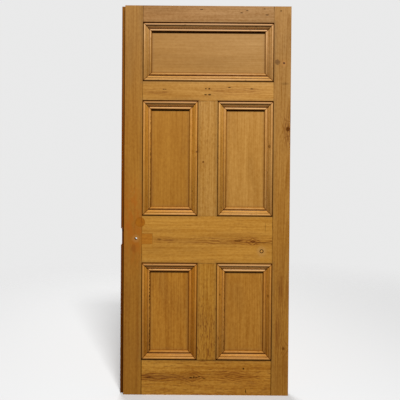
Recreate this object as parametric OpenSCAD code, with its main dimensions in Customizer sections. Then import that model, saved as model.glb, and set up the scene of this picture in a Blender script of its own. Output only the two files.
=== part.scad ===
// A five-panel front door leaf of the Victorian kind: a wedged frame of stiles, rails and muntins,
// loose panels in ploughed grooves, and mitred mouldings planted round each panel on the front.
// A strip planted along the back of the lock edge leaves a rebate down the front of that edge.
// The front faces -Y. The origin is at the middle of the bottom edge, halfway through the thickness.

/* [Leaf] */
// Width of the leaf over the strip on its lock edge
leaf_w = 883; // [860:1:960]
// Height of the leaf
leaf_h = 2032; // [1980:1:2200]
// Thickness of the leaf
leaf_t = 44; // [42:1:54]
// Width of the strip on the lock edge
strip_w = 19; // [12:1:24]
// Thickness of the strip, from the back face
strip_t = 22; // [20:1:26]

/* [Frame members] */
// Width of the stile at the lock edge, without the strip
lock_stile_w = 93; // [92:1:111]
// Width of the stile at the hinge edge
hinge_stile_w = 89; // [84:1:110]
// Width of the muntin between the upper pair of panels
upper_muntin_w = 103; // [90:1:120]
// Width of the muntin between the lower pair of panels
lower_muntin_w = 100; // [90:1:120]
// Height of the top rail
top_rail_h = 88; // [80:1:110]
// Height of the opening for the top panel
top_opening_h = 304; // [250:1:340]
// Height of the frieze rail
frieze_rail_h = 102; // [96:1:130]
// Height of the lock rail
lock_rail_h = 248; // [230:1:270]
// Height of the lock rail's centre line above the bottom edge
lock_rail_z = 815; // [770:1:850]
// Height of the bottom rail
bottom_rail_h = 185; // [170:1:240]

/* [Joints] */
// Thickness of the panels, and so of the grooves and tenons
tongue_t = 14; // [12:1:16]
// Depth of the grooves that hold the panels
groove_d = 12; // [9:1:14]
// Room left in the grooves for the panels to swell
panel_gap = 1; // [0.5:0.1:2]
// Height of the haunch between an end tenon and the end of its stile
haunch_h = 26; // [20:1:30]
// Space between the lock rail's two tenons, where the lock's pocket lies
lock_tenon_gap = 106; // [100:1:120]
// Space between the bottom rail's two tenons
bottom_tenon_gap = 40; // [30:1:50]
// Length of the stub tenons on the muntins
stub_l = 38; // [25:1:45]
// Length of the wedges beside the tenons
wedge_l = 60; // [45:1:65]
// Thickness of the wedges at the outer edge
wedge_t = 7; // [4:1:9]

/* [Mouldings] */
// Dirt-filled gap between a moulding and the edge of its opening
moulding_gap = 1.5; // [0.5:0.1:2.5]
// Radius of the bead along the outer edge
outer_bead_r = 7.5; // [6:0.1:8]
// Height of the outer bead above the face of the frame
bead_proud = 3; // [0:0.5:5]
// Width of the quirks on either side of the ogee
quirk_w = 1.5; // [1:0.1:2]
// Depth of the quirks below the edges of the ogee
quirk_d = 2.5; // [1:0.1:3]
// Depth of the ogee's upper edge below the face of the frame
ogee_drop = 1; // [0:0.1:3]
// Width of the ogee
ogee_w = 12; // [10:0.5:15]
// Height of the lower edge of the ogee above the panel
ogee_foot = 4.5; // [4:0.1:6]
// Step where the ogee's round turns into its hollow
ogee_step = 0.8; // [0.2:0.1:1.5]
// Radius of the bead along the inner edge
inner_bead_r = 7; // [6:0.1:8]
// Height of the straight foot under the inner bead
inner_bead_foot = 1.5; // [0.5:0.1:3]

/* [Lock] */
// Height of the handle's spindle above the lock rail's centre line
spindle_rise = 3; // [-6:1:8]
// Distance of the spindle from the edge of the lock stile
backset = 62; // [57:1:65]
// Diameter of the spindle hole
spindle_d = 14; // [10:1:18]
// Height of the middle of the lock's pocket above the spindle
pocket_rise = 8; // [4:1:9]
// Height of the lock's pocket
pocket_h = 74; // [66:1:76]
// Depth of the lock's pocket from the edge of the lock stile
pocket_d = 77; // [73:1:79]
// Width of the lock's pocket
pocket_w = 16; // [14:1:18]
// Height of the recess for the lock's front plate
plate_h = 88; // [82:1:96]
// Width of the recess for the lock's front plate beside the strip
plate_w = 11; // [9:1:13]
// Depth of the recess for the lock's front plate
plate_d = 4; // [2:0.5:5]

/* [Hinges] */
// Height of a hinge housing
hinge_h = 102; // [76:1:120]
// Width of a hinge housing, from the back face
hinge_w = 35; // [28:1:38]
// Depth of a hinge housing
hinge_d = 3; // [2:0.5:4]
// Distance of the upper hinge's middle below the top edge
upper_hinge_drop = 203; // [180:1:230]
// Distance of the lower hinge's middle above the bottom edge
lower_hinge_rise = 280; // [250:1:300]
// Distance between a hinge's screw holes across the edge
screw_pitch_y = 16; // [12:1:18]
// Distance between a hinge's outer screw holes along the edge
screw_pitch_z = 70; // [50:1:76]
// Diameter of the screw holes
screw_d = 4; // [3:0.5:5]
// Depth of the screw holes
screw_l = 30; // [20:1:35]

/* [Repairs] */
// Diameter of the round plug in the old handle hole
plug_d = 51; // [40:1:54]
// Distance of the round plug's centre from the edge of the lock stile
plug_inset = 84; // [79:1:89]
// Distance of the round plug's centre below the top of the lock rail
plug_drop = 35; // [30:1:40]
// Depth of the round plug
plug_l = 12; // [8:1:12]
// Side of the square patch beside the spindle
patch_w = 56; // [45:1:65]
// Depth of the square patch
patch_l = 8; // [5:1:10]
// Diameter of the two small filler plugs
filler_d = 20; // [16:1:24]
// Depth of the two small filler plugs
filler_l = 10; // [6:1:12]
// Distance of the lock rail's filler plug from the hinge edge
rail_filler_inset = 145; // [135:1:160]
// Distance of the lock rail's filler plug below the rail's centre line
rail_filler_drop = 58; // [40:1:75]
// Distance of the stile's filler plug inside the hinge stile's inner edge
stile_filler_inset = 18; // [14:1:24]
// Distance of the stile's filler plug below the top edge
stile_filler_drop = 289; // [270:1:310]

/* [Hidden] */
$fn = 96;
// How far a cutting solid runs past the face that it cuts
over = 1;
half_w = leaf_w / 2;
half_t = leaf_t / 2;
// Thickness of the timber in front of and behind a groove
cheek_t = half_t - tongue_t / 2;

// Outer edge of the lock stile, inner edges of both stiles, and the line midway between those
lock_edge_x = -half_w + strip_w;
lock_side_x = lock_edge_x + lock_stile_w;
hinge_side_x = half_w - hinge_stile_w;
muntin_x = (lock_side_x + hinge_side_x) / 2;

// Edges of the rails
lock_rail_bottom = lock_rail_z - lock_rail_h / 2;
lock_rail_top = lock_rail_z + lock_rail_h / 2;
top_rail_bottom = leaf_h - top_rail_h;
frieze_rail_top = top_rail_bottom - top_opening_h;
frieze_rail_bottom = frieze_rail_top - frieze_rail_h;

// Lowest and highest edge of each through tenon
bottom_tenon_mid = (haunch_h + bottom_rail_h - groove_d) / 2;
top_tenons = [[top_rail_bottom + groove_d, leaf_h - haunch_h]];
frieze_tenons = [[frieze_rail_bottom + groove_d, frieze_rail_top - groove_d]];
lock_tenons = [
    [lock_rail_bottom + groove_d, lock_rail_z - lock_tenon_gap / 2],
    [lock_rail_z + lock_tenon_gap / 2, lock_rail_top - groove_d]
];
bottom_tenons = [
    [haunch_h, bottom_tenon_mid - bottom_tenon_gap / 2],
    [bottom_tenon_mid + bottom_tenon_gap / 2, bottom_rail_h - groove_d]
];
all_tenons = concat(top_tenons, frieze_tenons, lock_tenons, bottom_tenons);

// Section of the moulding, measured inwards from its outer edge and up from the panel
outer_bead_h = cheek_t + bead_proud;
ogee_start = 2 * outer_bead_r + quirk_w;
ogee_end = ogee_start + ogee_w;
ogee_mid = (ogee_start + ogee_end) / 2;
ogee_top = cheek_t - ogee_drop;
ogee_fall = ogee_top - ogee_foot - ogee_step;
ogee_r = (pow(ogee_w, 2) + pow(ogee_fall, 2)) / (4 * ogee_fall);
inner_bead_start = ogee_end + quirk_w;
moulding_w = inner_bead_start + 2 * inner_bead_r;

// Places of the lock and the plugs
spindle_z = lock_rail_z + spindle_rise;
plug_x = lock_edge_x + plug_inset;
plug_z = lock_rail_top - plug_drop;
rail_filler_x = half_w - rail_filler_inset;
rail_filler_z = lock_rail_z - rail_filler_drop;
stile_filler_x = hinge_side_x + stile_filler_inset;
stile_filler_z = leaf_h - stile_filler_drop;

// The five openings: name, left, bottom, right, top
upper_left_x = muntin_x - upper_muntin_w / 2;
upper_right_x = muntin_x + upper_muntin_w / 2;
lower_left_x = muntin_x - lower_muntin_w / 2;
lower_right_x = muntin_x + lower_muntin_w / 2;
openings = [
    ["top", lock_side_x, frieze_rail_top, hinge_side_x, top_rail_bottom],
    ["upper_left", lock_side_x, lock_rail_top, upper_left_x, frieze_rail_bottom],
    ["upper_right", upper_right_x, lock_rail_top, hinge_side_x, frieze_rail_bottom],
    ["lower_left", lock_side_x, bottom_rail_h, lower_left_x, lock_rail_bottom],
    ["lower_right", lower_right_x, bottom_rail_h, hinge_side_x, lock_rail_bottom]
];
sides = ["bottom", "right", "top", "left"];

function panel_name(opening) = str(opening[0], "_panel");
function moulding_name(opening, side) = str(opening[0], "_moulding_", sides[side]);

// A flat board between two heights, centred in the leaf's thickness
module board(x0, x1, z0, z1, t) {
    translate([x0, -t / 2, z0]) cube([x1 - x0, t, z1 - z0]);
}

// An outline drawn on the face of the leaf, given a thickness centred in the leaf
module slab(t) {
    rotate([90, 0, 0]) linear_extrude(t, center = true) children();
}

// A round bar let into the front face
module round_inlay(x, z, d, l) {
    translate([x, -half_t, z]) rotate([-90, 0, 0]) cylinder(d = d, h = l);
}

// The cutter for a round inlay, which runs out past the front face
module round_recess(x, z, d, l) {
    translate([x, -half_t - over, z]) rotate([-90, 0, 0]) cylinder(d = d, h = l + over);
}

// Moves what is made at the hinge edge over to the lock stile
module at_lock_stile() {
    translate([strip_w, 0, 0]) mirror([1, 0, 0]) children();
}

// The mortice for one tenon through the stile at +X, flared towards the edge for its two wedges
module mortice(stile_w, tenon) {
    inner = half_w - stile_w - over;
    bend = half_w - wedge_l;
    outer = half_w + over;
    low = tenon[0] - wedge_t;
    high = tenon[1] + wedge_t;
    slab(tongue_t) polygon([
        [inner, tenon[0]], [bend, tenon[0]], [half_w, low], [outer, low],
        [outer, high], [half_w, high], [bend, tenon[1]], [inner, tenon[1]]
    ]);
}

// A stile at +X with its groove and its mortices
module stile_blank(stile_w) {
    inner = half_w - stile_w;
    difference() {
        board(inner, half_w, 0, leaf_h, leaf_t);
        board(inner - over, inner + groove_d, -over, leaf_h + over, tongue_t);
        for (tenon = all_tenons) mortice(stile_w, tenon);
    }
}

// The wedges at +X, above and below every tenon
module wedges() {
    slab(tongue_t) for (tenon = all_tenons) {
        polygon([[half_w - wedge_l, tenon[1]], [half_w, tenon[1]], [half_w, tenon[1] + wedge_t]]);
        polygon([[half_w - wedge_l, tenon[0]], [half_w, tenon[0] - wedge_t], [half_w, tenon[0]]]);
    }
}

// A rail with its haunches and through tenons, grooved along the edges that meet a panel
module rail(z0, z1, tenons, groove_below, groove_above) {
    difference() {
        board(lock_side_x, hinge_side_x, z0, z1, leaf_t);
        if (groove_below)
            board(lock_side_x - over, hinge_side_x + over, z0 - over, z0 + groove_d, tongue_t);
        if (groove_above)
            board(lock_side_x - over, hinge_side_x + over, z1 - groove_d, z1 + over, tongue_t);
    }
    low = groove_below ? z0 + groove_d : z0;
    high = groove_above ? z1 - groove_d : z1;
    board(lock_side_x - groove_d, hinge_side_x + groove_d, low, high, tongue_t);
    for (tenon = tenons) board(lock_edge_x, half_w, tenon[0], tenon[1], tongue_t);
}

// The tongue of a muntin that is muntin_w wide, between two heights
module muntin_tongue(muntin_w, z0, z1) {
    reach = muntin_w / 2 - groove_d;
    board(muntin_x - reach, muntin_x + reach, z0, z1, tongue_t);
}

// A muntin between two rails, grooved along both edges, with a stub tenon at each end
module muntin(muntin_w, z0, z1) {
    difference() {
        board(muntin_x - muntin_w / 2, muntin_x + muntin_w / 2, z0, z1, leaf_t);
        for (side = [-1, 1]) {
            edge = muntin_x + side * muntin_w / 2;
            board(edge - groove_d, edge + groove_d, z0 - over, z1 + over, tongue_t);
        }
    }
    muntin_tongue(muntin_w, z0 - stub_l, z1 + stub_l);
}

// A panel that stands on the bottom of its groove and has room to swell at its other edges
module panel(opening) {
    reach = groove_d - panel_gap;
    color("#a5773e")
        board(opening[1] - reach, opening[3] + reach, opening[2] - groove_d, opening[4] + reach, tongue_t);
}

// The round upper half of the ogee, then its hollow lower half
module ogee() {
    intersection() {
        translate([ogee_start, ogee_top - ogee_r]) circle(ogee_r);
        translate([ogee_start, 0]) square([ogee_mid - ogee_start, ogee_top]);
    }
    difference() {
        translate([ogee_mid, 0]) square([ogee_end - ogee_mid, ogee_foot + ogee_fall / 2]);
        translate([ogee_end, ogee_foot + ogee_r]) circle(ogee_r);
    }
}

// A half-round bead of radius r on a straight foot
module bead(r, foot) {
    square([2 * r, foot]);
    intersection() {
        translate([r, foot]) circle(r);
        translate([0, foot]) square([2 * r, r]);
    }
}

// The whole section: an outer bead, an ogee between two quirks, and an inner bead
module moulding_section() {
    bead(outer_bead_r, outer_bead_h - outer_bead_r);
    square([ogee_start, ogee_top - quirk_d]);
    ogee();
    square([inner_bead_start + inner_bead_r, ogee_foot - quirk_d]);
    translate([inner_bead_start, 0]) bead(inner_bead_r, inner_bead_foot);
}

// One length of moulding on the front of a panel, cut to a mitre at both ends
module moulding(opening, side) {
    left = opening[1] + moulding_gap;
    bottom = opening[2] + moulding_gap;
    right = opening[3] - moulding_gap;
    top = opening[4] - moulding_gap;
    corner = [[left, bottom], [right, bottom], [right, top], [left, top]][side];
    length = side % 2 == 0 ? right - left : top - bottom;
    color("#b0834b")
        translate([corner[0], -tongue_t / 2, corner[1]])
        rotate([0, -90 * side, 0])
        rotate([90, 0, 0])
        intersection() {
            rotate([90, 0, 90]) linear_extrude(length) moulding_section();
            translate([0, 0, -over]) linear_extrude(outer_bead_h + 2 * over) polygon([
                [-over, -over], [length + over, -over],
                [length - moulding_w - over, moulding_w + over], [moulding_w + over, moulding_w + over]
            ]);
        }
}

// A butt hinge's housing in the hinge edge, open at the back, with its screw holes
module hinge_housing(z) {
    translate([half_w - hinge_d, half_t - hinge_w, z - hinge_h / 2])
        cube([hinge_d + over, hinge_w + over, hinge_h]);
    for (y = [-0.5, 0.5], up = [-0.5, 0.5])
        translate([half_w, half_t - hinge_w / 2 + y * screw_pitch_y, z + up * screw_pitch_z])
        rotate([0, -90, 0])
        cylinder(d = screw_d, h = hinge_d + screw_l);
}

// The pocket for a rebated mortice lock, the recesses for its stepped front plate and the spindle hole
module lock_cutout() {
    pocket_z = spindle_z + pocket_rise;
    strip_y = half_t - strip_t;
    pocket_x = -half_w - over;
    board(pocket_x, lock_edge_x + pocket_d, pocket_z - pocket_h / 2, pocket_z + pocket_h / 2, pocket_w);
    translate([pocket_x, strip_y - over, pocket_z - plate_h / 2])
        cube([plate_d + over, strip_t + 2 * over, plate_h]);
    translate([lock_edge_x - over, strip_y - plate_w, pocket_z - plate_h / 2])
        cube([plate_d + over, plate_w, plate_h]);
    translate([lock_edge_x + backset, 0, spindle_z])
        rotate([90, 0, 0])
        cylinder(d = spindle_d, h = leaf_t + 2 * over, center = true);
}

// The square patch beside the joint with the lock stile, or its cutter where it spills past two faces
module square_inlay(spill) {
    translate([lock_side_x - spill, -half_t - spill, spindle_z - patch_w / 2])
        cube([patch_w + spill, patch_l + spill, patch_w]);
}

module lock_stile() {
    color("#a5753a") difference() {
        at_lock_stile() stile_blank(lock_stile_w);
        lock_cutout();
        round_recess(plug_x, plug_z, plug_d, plug_l);
    }
}

module hinge_stile() {
    color("#ac7f47") difference() {
        stile_blank(hinge_stile_w);
        hinge_housing(leaf_h - upper_hinge_drop);
        hinge_housing(lower_hinge_rise);
        round_recess(stile_filler_x, stile_filler_z, filler_d, filler_l);
    }
}

module top_rail() {
    color("#aa7d45") rail(top_rail_bottom, leaf_h, top_tenons, true, false);
}

module frieze_rail() {
    color("#a87a42") difference() {
        rail(frieze_rail_bottom, frieze_rail_top, frieze_tenons, true, true);
        muntin_tongue(upper_muntin_w, frieze_rail_bottom - over, frieze_rail_bottom + stub_l);
    }
}

module lock_rail() {
    color("#a2733a") difference() {
        rail(lock_rail_bottom, lock_rail_top, lock_tenons, true, true);
        muntin_tongue(upper_muntin_w, lock_rail_top - stub_l, lock_rail_top + over);
        muntin_tongue(lower_muntin_w, lock_rail_bottom - over, lock_rail_bottom + stub_l);
        round_recess(plug_x, plug_z, plug_d, plug_l);
        round_recess(rail_filler_x, rail_filler_z, filler_d, filler_l);
        square_inlay(over);
    }
}

module bottom_rail() {
    color("#9c6c34") difference() {
        rail(0, bottom_rail_h, bottom_tenons, false, true);
        muntin_tongue(lower_muntin_w, bottom_rail_h - stub_l, bottom_rail_h + over);
    }
}

module upper_muntin() {
    color("#a87a42") muntin(upper_muntin_w, lock_rail_top, frieze_rail_bottom);
}

module lower_muntin() {
    color("#a0713a") muntin(lower_muntin_w, bottom_rail_h, lock_rail_bottom);
}

module lock_edge_wedges() {
    color("#8f5f2c") at_lock_stile() wedges();
}

module hinge_edge_wedges() {
    color("#8f5f2c") wedges();
}

module lock_edge_strip() {
    color("#7d4d22") difference() {
        translate([-half_w, half_t - strip_t, 0]) cube([strip_w, strip_t, leaf_h]);
        lock_cutout();
    }
}

module handle_hole_plug() {
    color("#8a5526") round_inlay(plug_x, plug_z, plug_d, plug_l);
}

module lock_patch() {
    color("#95602a") square_inlay(0);
}

module filler_plugs() {
    color("#8d7a5c") {
        round_inlay(rail_filler_x, rail_filler_z, filler_d, filler_l);
        round_inlay(stile_filler_x, stile_filler_z, filler_d, filler_l);
    }
}

lock_stile();
hinge_stile();
top_rail();
frieze_rail();
lock_rail();
bottom_rail();
upper_muntin();
lower_muntin();
lock_edge_wedges();
hinge_edge_wedges();
lock_edge_strip();
handle_hole_plug();
lock_patch();
filler_plugs();
for (opening = openings) {
    panel(opening);
    for (side = [0:3])
        moulding(opening, side);
}
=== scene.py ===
"""Dresses a five-panel front door leaf in old waxed pine."""
import math

import bpy
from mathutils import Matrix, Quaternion, Vector


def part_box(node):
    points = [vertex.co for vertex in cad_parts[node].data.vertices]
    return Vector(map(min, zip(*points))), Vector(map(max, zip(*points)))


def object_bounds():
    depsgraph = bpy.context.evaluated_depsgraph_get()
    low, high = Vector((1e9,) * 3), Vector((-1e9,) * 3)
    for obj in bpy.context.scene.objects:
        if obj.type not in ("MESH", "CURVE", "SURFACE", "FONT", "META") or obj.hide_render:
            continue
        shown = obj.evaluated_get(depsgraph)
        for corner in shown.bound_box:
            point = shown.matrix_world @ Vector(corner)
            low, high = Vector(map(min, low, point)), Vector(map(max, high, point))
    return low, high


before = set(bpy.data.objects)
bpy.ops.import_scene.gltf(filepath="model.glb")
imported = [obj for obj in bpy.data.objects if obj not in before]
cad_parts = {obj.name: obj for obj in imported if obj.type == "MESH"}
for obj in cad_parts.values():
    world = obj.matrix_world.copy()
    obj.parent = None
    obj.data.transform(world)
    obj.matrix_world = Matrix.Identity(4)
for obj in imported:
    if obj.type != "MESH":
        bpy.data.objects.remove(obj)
cad_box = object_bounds()
LEAF_TOP = cad_box[1].z
MM = 0.001

# Camera: nearly square on to the leaf at chest height, tilted down and rolled by about half a degree
CAMERA_X = -0.028
CAMERA_HEIGHT = 1.19
CAMERA_DISTANCE = 2.6
TILT = math.radians(0.6)
ROLL = math.radians(0.43)
SENSOR = 36.0
IMAGE_SIDE = 400
LEAF_TOP_PX, LEAF_BOTTOM_PX = 5.6, 395.35

# Light and surroundings
KEY_PLACE, KEY_AIM, KEY_SIZE, KEY_POWER = (0.5, -3.5, 5.7), (0.0, 0.0, 1.1), (1.1, 0.8), 420.0
BACK_PLACE, BACK_AIM, BACK_SIZE, BACK_POWER = (-1.2, 3.8, 4.6), (0.0, 0.0, 1.0), (2.4, 1.6), 230.0
SKY_LIGHT = 0.22
PALE = 0.82
FLOOR_SEEN = 0.62
FLOOR_BOUNCE = 0.25
FLOOR_RADIUS = 5.0
FLOOR_FADE = (1.2, 4.2)

OPENINGS = ["top", "upper_left", "upper_right", "lower_left", "lower_right"]
SIDES = ["bottom", "right", "top", "left"]

# Section of the mouldings, measured inwards from the outer edge
BEAD_W = 15 * MM
QUIRK_W = 1.5 * MM
OGEE_W = 12 * MM
MOULDING_W = 44 * MM
MOULDING_GAP = 1.5 * MM
OGEE_START = BEAD_W + QUIRK_W
OGEE_END = OGEE_START + OGEE_W
OUTER_QUIRK = OGEE_START - QUIRK_W / 2
INNER_QUIRK = OGEE_END + QUIRK_W / 2

# Lines along a moulding: distance from the outer edge, half width, and how far the line fades
OUTER_BEAD_LINE = (BEAD_W / 2, 3 * MM, 3 * MM)
INNER_BEAD_LINE = ((OGEE_END + QUIRK_W + MOULDING_W) / 2 - 4 * MM, 3.5 * MM, 2.5 * MM)
OGEE_LINE = ((OGEE_START + OGEE_END) / 2, OGEE_W / 2 - 1 * MM, 2 * MM)
LEDGE_SHADE_LINE = (OGEE_END + 4.5 * MM, 2.5 * MM, 2.5 * MM)

# Depths through which the marks of the front fade: on a member, and in the middle of a panel
FRONT_FADE = (-12 * MM, -6 * MM)
PANEL_MIDDLE = (-2 * MM, 2 * MM)

BEVEL_W = 0.6 * MM
BEVEL_ANGLE = math.radians(35)


def srgb(red, green, blue):
    """A linear colour from 8-bit display values."""
    def linear(value):
        value /= 255
        return value / 12.92 if value <= 0.04045 else ((value + 0.055) / 1.055) ** 2.4
    return (linear(red), linear(green), linear(blue), 1.0)


def deepened(colour, shares):
    return tuple(value * share for value, share in zip(colour, shares)) + (1.0,)


# Early and late wood against a board's mean colour, the colour of old wax low down, and where colours fade
EARLY_WOOD = (1.16, 1.235, 1.48)
LATE_WOOD = (0.66, 0.505, 0.04)
WAX_FADE = (1.3, 2.0)
STILE_SHADE_FADE = (0.9, 2.0)
OLD_WAX = (0.98, 0.88, 0.52, 1.0)
LEFT_FADE = (-0.3, 0.3)

# Mean tones of the pieces whose boards aren't listed further down
STRIP_PINE = srgb(116, 62, 6)
PLUG_PINE = srgb(164, 102, 16)
PATCH_PINE = srgb(175, 115, 37)
FILLER = srgb(196, 146, 84)
WEDGE_PINE = srgb(134, 86, 42)

# Grime; the same colour also paints shade in the quirks, along the mouldings' inner edges and in the strip's
# corner
GRIME_AND_SHADE = srgb(48, 20, 2)
# Soot; the same colour also paints the shadow under the top mouldings and the shade in the cracks round the
# openings
SOOT_AND_SHADE = srgb(40, 14, 0)
# Old wax; the same colour also paints shade in the cracks and on the bottom mouldings' lower ledge
DEEP_WAX_AND_SHADE = (0.55, 0.34, 0.03, 1.0)
FIGURE_LINE = (0.48, 0.30, 0.08, 1.0)
# Painted shade that darkens a stile towards its top
STILE_TOP_SHADE = (0.86, 0.875, 0.96, 1.0)
STRIP_TOP = (1.1, 1.35, 1.8, 1.0)
FLECK = srgb(112, 56, 10)
GREY_DIRT = srgb(124, 96, 54)
AMBER = srgb(168, 96, 18)
KNOT_BROWN = srgb(90, 44, 2)
# Bare wood on the beads, which also serves as their painted highlight
BARE_WOOD_AND_HIGHLIGHT = srgb(218, 167, 112)
# Painted light on the ogee, where the lamp leaves it in shade
OGEE_PAINTED_LIGHT = srgb(220, 166, 100)
# Dust on the leaf's top, which also serves as painted shade under the key lamp
TOP_DUST_AND_SHADE = srgb(104, 76, 48)
END_GRAIN = srgb(112, 68, 28)
DARK_FILLER = srgb(106, 70, 26)

# Colours that take the shine off, and the shine of the waxed timber and of the strip
DULL = (GRIME_AND_SHADE, SOOT_AND_SHADE, TOP_DUST_AND_SHADE, KNOT_BROWN)
SHINE = 0.22
STRIP_SHINE = 0.08


class Graph:
    """Short names for the nodes of one material or node group."""

    def __init__(self, tree):
        self.tree = tree

    def put(self, target, value):
        if isinstance(value, bpy.types.NodeSocket):
            self.tree.links.new(value, target)
        else:
            target.default_value = value

    def add(self, kind, inputs=None, **props):
        made = self.tree.nodes.new(kind)
        for name, value in props.items():
            setattr(made, name, value)
        for name, value in (inputs or {}).items():
            self.put(made.inputs[name], value)
        return made

    def group(self, tree, **inputs):
        """The outputs of a node group with its inputs set."""
        return self.add("ShaderNodeGroup", inputs, node_tree=tree).outputs

    def math(self, operation, *values):
        made = self.add("ShaderNodeMath", operation=operation)
        for index, value in enumerate(values):
            self.put(made.inputs[index], value)
        return made.outputs[0]

    def vector(self, operation, first, second):
        return self.add("ShaderNodeVectorMath", {0: first, 1: second}, operation=operation).outputs[0]

    def fold(self, operation, values):
        made = values[0]
        for value in values[1:]:
            made = self.math(operation, made, value)
        return made

    def product(self, *values):
        return self.fold("MULTIPLY", values)

    def total(self, *values):
        return self.fold("ADD", values)

    def minus(self, first, second):
        return self.math("SUBTRACT", first, second)

    def length(self, first, second):
        return self.math("SQRT", self.total(self.product(first, first), self.product(second, second)))

    def blend(self, share, first, second, kind="MIX"):
        made = self.add("ShaderNodeMix", data_type="RGBA", blend_type=kind)
        self.put(made.inputs[0], share)
        self.put(made.inputs[6], first)
        self.put(made.inputs[7], second)
        return made.outputs[2]

    def ease(self, value, low, high, to_low=0.0, to_high=1.0):
        inputs = {"Value": value, "From Min": low, "From Max": high, "To Min": to_low, "To Max": to_high}
        return self.add("ShaderNodeMapRange", inputs, interpolation_type="SMOOTHSTEP").outputs[0]

    def fade(self, value, low, high, most=1.0):
        """Falls from its most to 0 between low and high."""
        return self.ease(value, low, high, most, 0.0)

    def line(self, value, middle, half, soft):
        """1 on a line where value passes middle, 0 away from it."""
        away = self.math("ABSOLUTE", self.minus(value, middle))
        return self.fade(away, half, half + soft)

    def noise(self, vector, scale, detail=2.0, rough=0.5):
        inputs = {"Vector": vector, "Scale": scale, "Detail": detail, "Roughness": rough}
        return self.add("ShaderNodeTexNoise", inputs).outputs["Fac"]

    def grain(self, board, across, along, detail, rough):
        """Noise drawn out along the grain, with its scales per metre."""
        return self.noise(self.vector("MULTIPLY", board, (across, across, along)), 1.0, detail, rough)

    def centred(self, noise, share):
        """A share of a noise, moved so that its middle is 0."""
        return self.math("MULTIPLY_ADD", noise, share, -share / 2)

    def split(self, vector):
        made = self.add("ShaderNodeSeparateXYZ", {"Vector": vector})
        return made.outputs[0], made.outputs[1], made.outputs[2]

    def join(self, x, y, z):
        return self.add("ShaderNodeCombineXYZ", {"X": x, "Y": y, "Z": z}).outputs[0]


def new_group(name, inputs, outputs):
    """An empty node group, with the names of its sockets listed by kind."""
    tree = bpy.data.node_groups.new(name, "ShaderNodeTree")
    for way, sockets in (("INPUT", inputs), ("OUTPUT", outputs)):
        for kind, names in sockets.items():
            for socket in names:
                tree.interface.new_socket(name=socket, in_out=way, socket_type="NodeSocket" + kind)
    source = tree.nodes.new("NodeGroupInput")
    sink = tree.nodes.new("NodeGroupOutput")
    return tree, Graph(tree), source.outputs, sink.inputs


# Noises in the pine: scales per metre across and along the grain, detail and roughness
WANDER = (4.0, 1.0, 2.0, 0.45)
RIPPLE = (60.0, 6.0, 2.0, 0.5)
FIBRE = (900.0, 16.0, 3.0, 0.6)
STREAK = (120.0, 3.4, 4.0, 0.65)
MOTTLE = (95.0, 60.0, 3.0, 0.6)
BAND = (38.0, 1.3, 2.0, 0.5)
CLOUD = (9.0, 2.2, 3.0, 0.5)
FIBRE_SHARE, STREAK_SHARE, MOTTLE_SHARE, BAND_SHARE = 0.36, 1.4, 1.1, 0.5

# Ripple of the rings, start and end of the late wood in a year, its strength, and the mean share of dark wood
RIPPLE_DEPTH = 1.4 * MM
LATE_START, LATE_END = (0.25, 0.86), (0.9, 1.0)
LATE_LEAST, LATE_RANGE = 0.15, 0.85
DARK_SHARE = 0.3


def pine_group():
    """Pine from growth rings round a pith, with fibres and slow changes of tone.

    Board is the place in the board, with the grain along Z. Rings is the same, measured from the pith.
    """
    tree, g, given, result = new_group(
        "pine",
        {"Vector": ["Board", "Rings"], "Color": ["Light", "Dark"],
         "Float": ["Spacing", "Push", "Figure", "Grain", "Wander", "Cloud"]},
        {"Color": ["Color"], "Float": ["Late", "Fibre", "Cloud"]})
    board = given["Board"]
    radius = g.length(*g.split(given["Rings"])[:2])
    radius = g.math("MULTIPLY_ADD", g.grain(board, *WANDER), given["Wander"], radius)
    radius = g.math("MULTIPLY_ADD", g.grain(board, *RIPPLE), RIPPLE_DEPTH, radius)
    turns = g.math("DIVIDE", g.total(radius, given["Push"]), given["Spacing"])
    phase = g.math("FRACT", turns)
    year = g.math("FLOOR", turns)
    strength = g.add("ShaderNodeTexWhiteNoise", {"W": year}, noise_dimensions="1D").outputs["Value"]
    rise = g.ease(phase, *LATE_START)
    fall = g.fade(phase, *LATE_END)
    late = g.product(rise, fall, g.math("MULTIPLY_ADD", strength, LATE_RANGE, LATE_LEAST))
    fibre = g.grain(board, *FIBRE)
    cloud = g.grain(board, *CLOUD)
    texture = g.total(
        g.centred(fibre, FIBRE_SHARE),
        g.centred(g.grain(board, *STREAK), STREAK_SHARE),
        g.centred(g.grain(board, *MOTTLE), MOTTLE_SHARE),
        g.centred(g.grain(board, *BAND), BAND_SHARE))
    tone = g.total(
        g.product(late, given["Figure"]),
        g.product(texture, given["Grain"]),
        g.product(g.minus(cloud, 0.5), given["Cloud"]))
    share = g.add("ShaderNodeClamp", {"Value": g.total(tone, DARK_SHARE)}).outputs[0]
    g.put(result["Color"], g.blend(share, given["Light"], given["Dark"]))
    g.put(result["Late"], late)
    g.put(result["Fibre"], fibre)
    g.put(result["Cloud"], cloud)
    return tree


# Noise on the edge of a spot: scale per metre, detail and roughness
EDGE_NOISE = (160.0, 2.0, 0.6)


def spot_group():
    """A soft ellipse on the face of the leaf: its mask, and the distance in units of the ellipse."""
    tree, g, given, result = new_group(
        "spot", {"Vector": ["Place", "Centre", "Half"], "Float": ["Soft", "Ragged"]},
        {"Float": ["Mask", "Distance"]})
    from_centre = g.vector("SUBTRACT", given["Place"], given["Centre"])
    away = g.length(*g.split(g.vector("DIVIDE", from_centre, given["Half"]))[::2])
    rough_edge = g.minus(g.noise(given["Place"], *EDGE_NOISE), 0.5)
    away = g.math("MULTIPLY_ADD", rough_edge, given["Ragged"], away)
    low = g.minus(1.0, given["Soft"])
    high = g.total(1.0, given["Soft"])
    g.put(result["Mask"], g.fade(away, low, high))
    g.put(result["Distance"], away)
    return tree


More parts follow.
